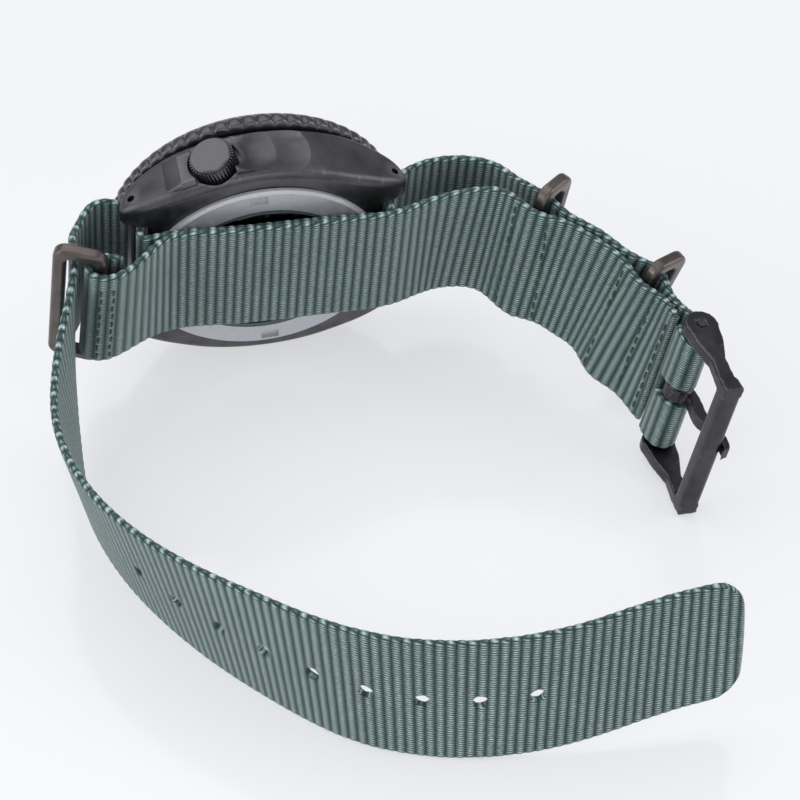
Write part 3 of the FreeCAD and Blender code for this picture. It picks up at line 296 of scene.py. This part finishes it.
def tip_shape(ribbon, s, v):
    """Lengths pulled back towards the tail's corners, so that its end is rounded."""
    flat = STRAP_HALF - TIP_ROUND
    corner = np.clip(np.abs(v) - flat, 0, TIP_ROUND - 0.02)
    back = TIP_ROUND - np.sqrt(TIP_ROUND**2 - corner**2) + 0.5 * (v / STRAP_HALF) ** 2
    near = np.clip((s - (ribbon.total - 7.0)) / 7.0, 0, 1)
    return s - back * near


class Webbing:
    """Grid of rows along and columns across the webbing, on its outer and inner faces."""

    def __init__(self, ribbon, rounded):
        self.ribbon = ribbon
        self.across = columns()
        self.rows = int(ribbon.total / (RIB_PITCH / ROWS_PER_RIB))
        self.lengths = np.linspace(0, ribbon.total, self.rows + 1)
        self.count = len(self.across)
        self.lower = (self.rows + 1) * self.count
        self.verts, self.weave, self.faces = [], [], []
        s, v = np.meshgrid(self.lengths, self.across, indexing="ij")
        if rounded:
            s = tip_shape(ribbon, s, v)
        thin = np.ones_like(s)
        thin[0] = thin[-1] = END_THINNING
        for side in (1, -1):
            self.add_points(s, v, side, side * thin)

    def add_points(self, s, v, side, rise):
        """New points with their weave coordinates; returns their numbers."""
        start = len(self.verts)
        self.verts.extend(surface(self.ribbon, s, v, rise).reshape(-1, 3))
        self.weave.extend(np.stack((s, v, np.full_like(s, side)), -1).reshape(-1, 3))
        return list(range(start, len(self.verts)))

    def top(self, row, column):
        return row * self.count + column

    def bottom(self, row, column):
        on_edge = column in (0, self.count - 1)
        return self.top(row, column) + (0 if on_edge else self.lower)

    def block(self, start, end):
        """Rows and columns of a patch between two lengths, in the middle of the webbing."""
        r0, r1 = (int(round(s / self.ribbon.total * self.rows)) for s in (start, end))
        c0, c1 = (int(np.argmin(np.abs(self.across - v))) for v in (-HOLE_MARGIN, HOLE_MARGIN))
        return r0, r1, c0, c1

    def skin(self, blocks):
        """Both faces, without the cells inside the blocks, and the two cut ends."""
        removed = {(r, c) for r0, r1, c0, c1 in blocks for r in range(r0, r1) for c in range(c0, c1)}
        top, bottom = self.top, self.bottom
        for r in range(self.rows):
            for c in range(self.count - 1):
                if (r, c) not in removed:
                    self.faces.append((top(r, c), top(r + 1, c), top(r + 1, c + 1), top(r, c + 1)))
                    self.faces.append((bottom(r, c), bottom(r, c + 1), bottom(r + 1, c + 1),
                                       bottom(r + 1, c)))
        end = self.rows
        for c in range(self.count - 1):
            self.faces.append((top(0, c), top(0, c + 1), bottom(0, c + 1), bottom(0, c)))
            self.faces.append((top(end, c), bottom(end, c), bottom(end, c + 1), top(end, c + 1)))

    def rim(self, block):
        """Grid places round a block, in order."""
        r0, r1, c0, c1 = block
        loop = [(r, c0) for r in range(r0, r1)] + [(r1, c) for c in range(c0, c1)]
        return loop + [(r, c1) for r in range(r1, r0, -1)] + [(r0, c) for c in range(c1, c0, -1)]

    def strip(self, first, second):
        """Quads between two closed loops of the same length."""
        for k, (a, b) in enumerate(zip(first, second)):
            n = (k + 1) % len(first)
            self.faces.append((a, first[n], second[n], b))

    def opening(self, block, centre=None):
        """Walls through a block; with a centre, the block closes in to a round hole first."""
        loop = self.rim(block)
        upper = [self.top(r, c) for r, c in loop]
        under = [self.bottom(r, c) for r, c in loop]
        if centre is not None:
            angles = [math.atan2(self.across[c], self.lengths[r] - centre) for r, c in loop]
            for radius, droop in HOLE_RIM:
                s = centre + radius * np.cos(angles)
                v = radius * np.sin(angles)
                inner_upper = self.add_points(s, v, droop, droop)
                inner_under = self.add_points(s, v, -droop, -droop)
                self.strip(upper, inner_upper)
                self.strip(inner_under, under)
                upper, under = inner_upper, inner_under
        self.strip(upper, under)

    def build(self, name, material):
        """Mesh object of the points that a face uses."""
        used = sorted({i for f in self.faces for i in f})
        index = {old: new for new, old in enumerate(used)}
        faces = [tuple(index[i] for i in f) for f in self.faces]
        obj = add_mesh(name, to_scene([self.verts[i] for i in used]), faces, material, "watch")
        attribute = obj.data.attributes.new("weave", "FLOAT_VECTOR", "POINT")
        attribute.data.foreach_set("vector", np.array([self.weave[i] for i in used]).ravel())
        return obj


def webbing(name, ribbon, material, rounded=False, holes=(), slot=None):
    """Closed mesh of the webbing with its ribs, edges, tongue holes and buckle slot."""
    grid = Webbing(ribbon, rounded)
    openings = [(grid.block(at - HOLE_MARGIN, at + HOLE_MARGIN), at) for at in holes]
    if slot is not None:
        openings.append((grid.block(*slot), None))
    grid.skin([block for block, centre in openings])
    for block, centre in openings:
        grid.opening(block, centre)
    return grid.build(name, material)


def stitches(name, ribbon, rows, side, material):
    """Rows of thread stitches across the webbing, each row given by its lengths at both edges."""
    verts, faces = [], []
    ring, beads = 8, 9
    for low, high, reach in rows:
        places = np.arange(-reach, reach - STITCH, STITCH_PITCH)
        for k, v0 in enumerate(places):
            tube = np.linspace(0, 1, beads)
            v = v0 + tube * STITCH
            s = low + (high - low) * (v + STRAP_HALF) / (2 * STRAP_HALF) + 0.07 * math.sin(k * 2.4)
            centre, across, out = ribbon.at(s)
            ahead = np.cross(out, across)
            rise = (STRAP_THICK / 2 + 0.05) - 0.35 * np.abs(2 * tube - 1) ** 3
            middle = centre + across * v[:, None] + out * (side * rise)[:, None]
            start = len(verts)
            for i in range(len(tube)):
                thick = THREAD_R * (1 - 0.25 * abs(2 * tube[i] - 1) ** 4)
                for j in range(ring):
                    a = 2 * math.pi * j / ring
                    round_it = ahead[i] * math.cos(a) + out[i] * math.sin(a)
                    verts.append(middle[i] + round_it * thick)
            for i in range(len(tube) - 1):
                for j in range(ring):
                    a, b = start + i * ring + j, start + i * ring + (j + 1) % ring
                    faces.append((a, b, b + ring, a + ring))
            faces.append(tuple(range(start, start + ring)))
            end = start + beads * ring
            faces.append(tuple(range(end - 1, end - ring - 1, -1)))
    return add_mesh(name, to_scene(verts), faces, material, "watch")


# ---------------------------------------------------------------- materials
def tone(red, green, blue):
    """Linear colour of an 8-bit screen colour."""
    linear = []
    for value in (red, green, blue):
        c = value / 255
        linear.append(c / 12.92 if c <= 0.04045 else ((c + 0.055) / 1.055) ** 2.4)
    return (*linear, 1.0)


class Shader:
    """A Principled material and short ways to add its nodes."""

    def __init__(self, name):
        self.material = bpy.data.materials.new(name)
        self.material.use_nodes = True
        self.tree = self.material.node_tree
        self.base = self.tree.nodes["Principled BSDF"]

    def set(self, **values):
        for key, value in values.items():
            self.base.inputs[key.replace("_", " ")].default_value = value
        return self

    def node(self, kind, **values):
        made = self.tree.nodes.new(kind)
        for key, value in values.items():
            setattr(made, key, value)
        return made

    def link(self, source, target):
        self.tree.links.new(source, target)

    def math(self, operation, a, b=0.0, c=0.0):
        made = self.node("ShaderNodeMath", operation=operation)
        for socket, value in zip(made.inputs, (a, b, c)):
            if hasattr(value, "is_linked"):
                self.link(value, socket)
            else:
                socket.default_value = value
        return made.outputs[0]

    def noise(self, scale, detail=3.0, vector=None, rough=0.55):
        made = self.node("ShaderNodeTexNoise")
        made.inputs["Scale"].default_value = scale
        made.inputs["Detail"].default_value = detail
        made.inputs["Roughness"].default_value = rough
        self.link(vector or self.node("ShaderNodeTexCoord").outputs["Object"], made.inputs["Vector"])
        return made.outputs["Fac"]

    def ramp(self, factor, *stops):
        made = self.node("ShaderNodeValToRGB")
        while len(made.color_ramp.elements) < len(stops):
            made.color_ramp.elements.new(0.5)
        for element, (place, colour) in zip(made.color_ramp.elements, stops):
            element.position = place
            element.color = colour
        self.link(factor, made.inputs["Fac"])
        return made.outputs["Color"]

    def mix(self, factor, a, b, blend="MIX"):
        made = self.node("ShaderNodeMix", data_type="RGBA", blend_type=blend)
        for socket, value in zip((made.inputs[0], made.inputs[6], made.inputs[7]), (factor, a, b)):
            if hasattr(value, "is_linked"):
                self.link(value, socket)
            else:
                socket.default_value = value
        return made.outputs[2]

    def bump(self, height, strength, distance, normal=None):
        made = self.node("ShaderNodeBump")
        made.inputs["Strength"].default_value = strength
        made.inputs["Distance"].default_value = distance
        self.link(height, made.inputs["Height"])
        if normal is not None:
            self.link(normal, made.inputs["Normal"])
        return made.outputs["Normal"]

    def use(self, socket, source):
        self.link(source, self.base.inputs[socket])
        return self


def blasted_steel(name, dark, light, rough, grain=7800.0):
    """Bead-blasted coated steel: fine grain, soft cloudy tone, and sharp edges painted lighter, partly as wear
    and partly as a painted highlight.
    """
    m = Shader(name).set(Metallic=0.9)
    cloud = m.noise(260.0, 4.0)
    edge = m.node("ShaderNodeNewGeometry").outputs["Pointiness"]
    # sharp convex edges painted lighter: partly wear on the coating, partly a painted highlight along the
    # edges
    edge_wear_and_highlight = m.ramp(edge, (0.5, (0, 0, 0, 1)), (0.56, (1, 1, 1, 1)))
    base = m.ramp(cloud, (0.3, dark), (0.72, light))
    worn_and_highlit_base = m.mix(m.math("MULTIPLY", edge_wear_and_highlight, 0.5), base, tuple(min(1.0, c * 1.9) for c in light[:3]) + (1.0,))
    m.use("Base Color", worn_and_highlit_base)
    m.use("Roughness", m.math("MULTIPLY_ADD", cloud, rough[1] - rough[0], rough[0]))
    m.use("Normal", m.bump(m.noise(grain, 2.0), 0.22, 0.00006))
    return m.material


def satin_steel(name, colour, spread=0.14, grain=4200.0, stretch=(1.0, 1.0, 1.0), rough=0.26, metallic=1.0):
    """Brushed or turned plate metal with a fine directional grain."""
    m = Shader(name).set(Metallic=metallic)
    mapping = m.node("ShaderNodeMapping")
    mapping.inputs["Scale"].default_value = stretch
    m.link(m.node("ShaderNodeTexCoord").outputs["Object"], mapping.inputs["Vector"])
    grainy = m.noise(grain, 3.0, mapping.outputs[0])
    low = tuple(c * (1 - spread) for c in colour[:3]) + (1.0,)
    m.use("Base Color", m.ramp(grainy, (0.35, low), (0.65, colour)))
    m.use("Roughness", m.math("MULTIPLY_ADD", grainy, 0.2, rough))
    m.use("Normal", m.bump(grainy, 0.12, 0.00003))
    return m.material


def rubber(name, colour):
    m = Shader(name).set(Metallic=0.0, Roughness=0.55)
    speck = m.noise(3000.0, 2.0)
    lighter = tuple(min(1, c * 1.5) for c in colour[:3]) + (1.0,)
    m.use("Base Color", m.ramp(speck, (0.3, colour), (0.7, lighter)))
    m.use("Normal", m.bump(speck, 0.1, 0.00003))
    return m.material


def glass(name, colour):
    m = Shader(name).set(Roughness=0.02, IOR=1.5, Transmission_Weight=1.0)
    smear = m.noise(90.0, 3.0)
    paler = tuple(min(1, c * 1.06) for c in colour[:3]) + (1.0,)
    m.use("Base Color", m.ramp(smear, (0.3, colour), (0.7, paler)))
    return m.material


def painted(name, low, high, scale=1500.0, roughness=0.45):
    m = Shader(name).set(Metallic=0.0, Roughness=roughness)
    speck = m.noise(scale, 3.0)
    m.use("Base Color", m.ramp(speck, (0.3, low), (0.7, high)))
    m.use("Normal", m.bump(speck, 0.08, 0.00002))
    return m.material


def nylon(name):
    """Ribbed nylon webbing, from the weave coordinates in mm: painted highlights on the warp yarns' crowns
    over each rib and painted shade in the valleys between ribs.
    """
    m = Shader(name).set(Metallic=0.0, Roughness=0.62, Sheen_Weight=0.25, Sheen_Roughness=0.45)
    parts = m.node("ShaderNodeSeparateXYZ")
    m.link(m.node("ShaderNodeAttribute", attribute_name="weave").outputs["Vector"], parts.inputs[0])
    along, across = parts.outputs[0], parts.outputs[1]
    coords = m.node("ShaderNodeTexCoord").outputs["Object"]
    drift = m.math("MULTIPLY", m.math("SUBTRACT", m.noise(420.0, 2.0, coords), 0.5), 0.9)
    row = m.math("DIVIDE", along, RIB_PITCH)
    number = m.math("FLOOR", m.math("ADD", row, 0.5))
    odd = m.math("FRACT", m.math("MULTIPLY", number, 0.5))
    place = m.math("SUBTRACT", row, number)
    slant = m.math("MULTIPLY", place, 0.5)
    yarn = m.math("ADD", m.math("DIVIDE", across, YARN_PITCH), odd)
    yarn = m.math("ADD", yarn, m.math("ADD", slant, drift))
    strand = m.math("ABSOLUTE", m.math("SINE", m.math("MULTIPLY", yarn, math.pi)))
    strand = m.math("POWER", strand, 1.3)
    ridge = m.math("POWER", m.math("ABSOLUTE", m.math("COSINE", m.math("MULTIPLY", row, math.pi))), 0.8)
    height = m.math("MULTIPLY", ridge, m.math("MULTIPLY_ADD", strand, 0.8, 0.2))
    fuzz = m.noise(2600.0, 3.0, coords)
    speckle = m.math("MULTIPLY", m.math("SUBTRACT", fuzz, 0.5), 0.55)
    # colour follows the weave's height: painted shade in the valleys, painted highlights on the yarn crowns,
    # plus random fuzz
    painted_yarn_light_and_fuzz = m.math("ADD", m.math("MULTIPLY", height, 0.85), speckle)
    colour = m.ramp(painted_yarn_light_and_fuzz, (0.1, tone(20, 42, 42)), (0.34, tone(62, 92, 92)), (0.6, tone(108, 140, 138)),
                    (0.92, tone(204, 222, 218)))
    patch = m.noise(70.0, 2.0, coords)
    shade = m.ramp(patch, (0.3, (0.86, 0.88, 0.88, 1)), (0.7, (1.08, 1.06, 1.06, 1)))
    m.use("Base Color", m.mix(1.0, colour, shade, "MULTIPLY"))
    normal = m.bump(height, 0.9, 0.00018)
    m.use("Normal", m.bump(fuzz, 0.25, 0.00005, normal))
    return m.material


def thread(name):
    m = Shader(name).set(Metallic=0.0, Roughness=0.7, Sheen_Weight=0.2)
    twist = m.noise(3200.0, 2.0)
    m.use("Base Color", m.ramp(twist, (0.3, tone(24, 52, 44)), (0.7, tone(52, 88, 74))))
    m.use("Normal", m.bump(twist, 0.4, 0.00005))
    return m.material


CASE_STEEL = blasted_steel("case_gunmetal", tone(68, 67, 69), tone(92, 91, 94), rough=(0.3, 0.42))
BEZEL_STEEL = blasted_steel("bezel_gunmetal", tone(66, 66, 68), tone(92, 92, 94), rough=(0.24, 0.36))
WIRE_STEEL = blasted_steel("wire_gunmetal", tone(74, 69, 67), tone(106, 99, 96), rough=(0.26, 0.38))
BUCKLE_STEEL = blasted_steel("buckle_gunmetal", tone(52, 51, 54), tone(76, 74, 77), rough=(0.2, 0.32))
BACK_STEEL = satin_steel("case_back_satin", tone(206, 207, 213), rough=0.42, metallic=0.55)
PLAIN_STEEL = satin_steel("plain_steel", tone(168, 168, 170))
PLATE = satin_steel("plate_silver", tone(150, 146, 138), stretch=(1.0, 1.0, 6.0))
BRASS = satin_steel("wheel_brass", tone(196, 160, 92))
GOLD = satin_steel("rotor_gilt", tone(188, 156, 98), stretch=(1.0, 1.0, 5.0))
RUBBER = rubber("gasket_black", tone(20, 21, 22))
GREY_SEAL = rubber("gasket_grey", tone(72, 84, 86))
CRYSTAL = glass("crystal_clear", tone(240, 243, 244))
BACK_GLASS = glass("back_glass_dark", tone(120, 122, 124))
DIAL = painted("dial_black", tone(16, 20, 20), tone(26, 31, 31))
LUME = painted("lume_pale", tone(206, 216, 190), tone(226, 232, 208), 900.0, 0.6)
SCALE = painted("bezel_scale", tone(20, 26, 25), tone(34, 42, 40), 1200.0, 0.35)
DISC = painted("calendar_white", tone(214, 214, 208), tone(232, 232, 228))
NYLON = nylon("strap_nylon")
THREAD = thread("strap_thread")

# ---------------------------------------------------------------- the webbing
LONG = Ribbon(long_route())
SHORT = Ribbon(short_route())
HOLES = [LONG.total - FIRST_HOLE - i * HOLE_PITCH for i in range(HOLE_COUNT)]
BUCKLE_SLOT = (0.9, 10.4)

long_strap = webbing("webbing_long", LONG, NYLON, rounded=True, holes=HOLES, slot=BUCKLE_SLOT)
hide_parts("strap_long")
short_strap = webbing("webbing_short", SHORT, NYLON)
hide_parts("strap_short")

# (length at the lower edge, length at the upper edge, reach across)
SEAMS = [(28.6, 29.6, 10.2), (22.6, 24.9, 10.2), (10.4, 12.4, 10.2), (4.6, 6.2, 10.2), (1.2, 1.2, 9.6)]
stitches("seams_shared", SHORT, SEAMS, 1, THREAD)
stitches("seam_left_fold", SHORT, [(90.4, 90.4, 10.0), (92.0, 92.0, 10.0)], 1, THREAD)

# ---------------------------------------------------------------- bezel grip
GRIP_COUNT = 60
STEPS_PER_GRIP = 14
GRIP_DEPTH = 0.6
GRIP_ROUND = 0.38
GRIP_LEAN = 0.2            # radians per millimetre of height
GRIP_MID_Z = 11.0
# (radius, height, share of the grip's depth)
BEZEL_PROFILE = [(17.45, 9.74, 0), (20.2, 9.74, 0), (20.7, 9.84, 0.35), (21.02, 10.02, 0.8), (21.2, 10.25, 1),
                 (21.25, 10.5, 1), (21.25, 10.8, 1), (21.25, 11.05, 1), (21.2, 11.3, 1), (21.08, 11.55, 1),
                 (20.9, 11.8, 0.9), (20.68, 12.05, 0.75), (20.45, 12.28, 0.5), (20.25, 12.44, 0.15),
                 (20.1, 12.5, 0), (20.08, 12.45, 0), (20.08, 11.94, 0), (17.92, 12.3, 0), (17.92, 12.7, 0),
                 (17.86, 12.75, 0), (17.5, 12.75, 0), (17.45, 12.7, 0)]


def bezel_grip():
    """Bezel with rounded lumps round its edge, each leaning a little like the turns of a rope."""
    around = GRIP_COUNT * STEPS_PER_GRIP
    verts, faces = [], []
    for i in range(around):
        angle = 2 * math.pi * i / around
        for radius, z, grip in BEZEL_PROFILE:
            lean = (z - GRIP_MID_Z) * GRIP_LEAN
            wave = abs(math.sin(GRIP_COUNT / 2 * angle + lean))
            r = radius - grip * GRIP_DEPTH * (1 - wave ** GRIP_ROUND)
            verts.append(on_head(r * math.cos(angle), r * math.sin(angle), z))
    count = len(BEZEL_PROFILE)
    for i in range(around):
        n = (i + 1) % around
        for k in range(count):
            m = (k + 1) % count
            faces.append((i * count + k, n * count + k, n * count + m, i * count + m))
    return add_mesh("bezel_grip", to_scene(verts), faces, BEZEL_STEEL, "bezel")


grip = bezel_grip()
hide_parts("bezel_ring")

# ---------------------------------------------------------------- finishes of the CAD nodes
FINISHES = {
    CASE_STEEL: ("case_body", "crown"),
    BACK_STEEL: ("case_back_ring", "chapter_ring"),
    WIRE_STEEL: ("left_ring", "first_keeper", "second_keeper"),
    BUCKLE_STEEL: ("buckle_frame", "buckle_pin", "buckle_tongue"),
    PLAIN_STEEL: ("spring_bar", "bar_", "winding_stem", "crown_tube", "sliding_pinion", "movement_screws",
                  "hairspring", "mainspring", "pallet_fork", "escape_wheel", "cannon_pinion", "ratchet_wheel",
                  "bezel_click_spring", "hour_hand", "minute_hand", "second_hand", "barrel_arbor",
                  "rotor_bearing"),
    PLATE: ("main_plate", "train_bridge", "balance_cock"),
    BRASS: ("centre_wheel", "third_wheel", "fourth_wheel", "balance_wheel", "mainspring_barrel",
            "minute_wheel", "hour_wheel"),
    GOLD: ("rotor",),
    RUBBER: ("bezel_gasket", "crystal_gasket", "crown_gasket", "case_back_gasket", "movement_holder"),
    GREY_SEAL: ("back_glass_gasket",),
    CRYSTAL: ("crystal",),
    BACK_GLASS: ("back_glass",),
    DIAL: ("dial",),
    LUME: ("hour_markers",),
    SCALE: ("bezel_insert",),
    DISC: ("date_disc", "day_disc"),
}


def finish_for(name):
    """The finish named for a node, or for the group that its name starts with."""
    exact = [f for f, names in FINISHES.items() if name in names]
    starts = [f for f, names in FINISHES.items() if any(name.startswith(n) for n in names)]
    return (exact or starts or [PLAIN_STEEL])[0]


for node_name, node in NODES.items():
    node.data.materials.clear()
    node.data.materials.append(finish_for(node_name))



def cast_copy(name, node, body, material, voxel, rounds):
    """A cast and tumbled version of a CAD node: the same solid with softened edges and corners."""
    mesh = NODES[node].data.copy()
    mesh.name = name
    mesh.materials.clear()
    mesh.materials.append(material)
    obj = bpy.data.objects.new(name, mesh)
    bpy.context.collection.objects.link(obj)
    remesh = obj.modifiers.new("remesh", "REMESH")
    remesh.mode = "VOXEL"
    remesh.voxel_size = voxel * MM
    remesh.use_smooth_shade = True
    soften = obj.modifiers.new("soften", "SMOOTH")
    soften.factor = 0.5
    soften.iterations = rounds
    shaped = bpy.data.meshes.new_from_object(obj.evaluated_get(bpy.context.evaluated_depsgraph_get()))
    obj.modifiers.clear()
    obj.data = shaped
    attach(obj, body)
    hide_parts(node)
    return obj


cast_copy("buckle_cast", "buckle_frame", "buckle_body", BUCKLE_STEEL, 0.16, 14)
cast_copy("tongue_cast", "buckle_tongue", "tongue_body", BUCKLE_STEEL, 0.13, 8)

# ---------------------------------------------------------------- floor, light and camera
FLOOR_HALF = 1.2


def floor():
    m = Shader("floor_white").set(Metallic=0.0, Roughness=0.14, Specular_IOR_Level=0.4)
    m.set(Emission_Color=(0.965, 0.975, 1.0, 1.0), Emission_Strength=0.57)
    faint = m.noise(3.0, 2.0)
    m.use("Base Color", m.ramp(faint, (0.3, tone(160, 161, 164)), (0.7, tone(164, 165, 167))))
    mesh = bpy.data.meshes.new("floor")
    corners = [(-FLOOR_HALF, -FLOOR_HALF, 0), (FLOOR_HALF, -FLOOR_HALF, 0), (FLOOR_HALF, FLOOR_HALF, 0),
               (-FLOOR_HALF, FLOOR_HALF, 0)]
    mesh.from_pydata(corners, [], [(0, 1, 2, 3)])
    mesh.materials.append(m.material)
    obj = bpy.data.objects.new("floor", mesh)
    bpy.context.collection.objects.link(obj)


def area_light(name, place, target, size, power, colour=(1, 1, 1)):
    data = bpy.data.lights.new(name, "AREA")
    data.shape = "RECTANGLE"
    data.size, data.size_y = size
    data.energy = power
    data.color = colour
    obj = bpy.data.objects.new(name, data)
    obj.location = place
    obj.rotation_euler = (Vector(target) - Vector(place)).to_track_quat("-Z", "Y").to_euler()
    bpy.context.collection.objects.link(obj)


floor()
area_light("key_top", (-0.15, 0.25, 0.75), (0, 0, 0), (1.0, 0.8), 2.6, (1.0, 0.99, 0.98))
area_light("side_left", (-0.8, -0.1, 0.35), (0, 0, 0.02), (0.5, 0.6), 1.7, (0.97, 0.98, 1.0))
area_light("side_right", (0.75, -0.15, 0.45), (0, 0, 0.02), (0.5, 0.6), 1.8)
area_light("front_fill", (0.0, -0.8, 0.5), (0, 0, 0.02), (0.8, 0.5), 1.3)

world = bpy.data.worlds.new("studio")
world.use_nodes = True
world.node_tree.nodes["Background"].inputs["Color"].default_value = (0.96, 0.965, 1.0, 1.0)
world.node_tree.nodes["Background"].inputs["Strength"].default_value = 0.5
bpy.context.scene.world = world
bpy.context.scene.view_settings.view_transform = "Standard"

CAMERA_AT = (-43.82, -329.0, 315.5)      # millimetres, in the lying frame
CAMERA_LOOKS = (0.1386, 0.6934, -0.7071)
camera_data = bpy.data.cameras.new("camera")
camera_data.lens = 135.0
camera_data.sensor_width = 36.0
camera_data.clip_start = 0.01
camera = bpy.data.objects.new("camera", camera_data)
camera.location = to_scene(CAMERA_AT)
camera.rotation_euler = Vector(CAMERA_LOOKS).to_track_quat("-Z", "Y").to_euler()
bpy.context.collection.objects.link(camera)
bpy.context.scene.camera = camera
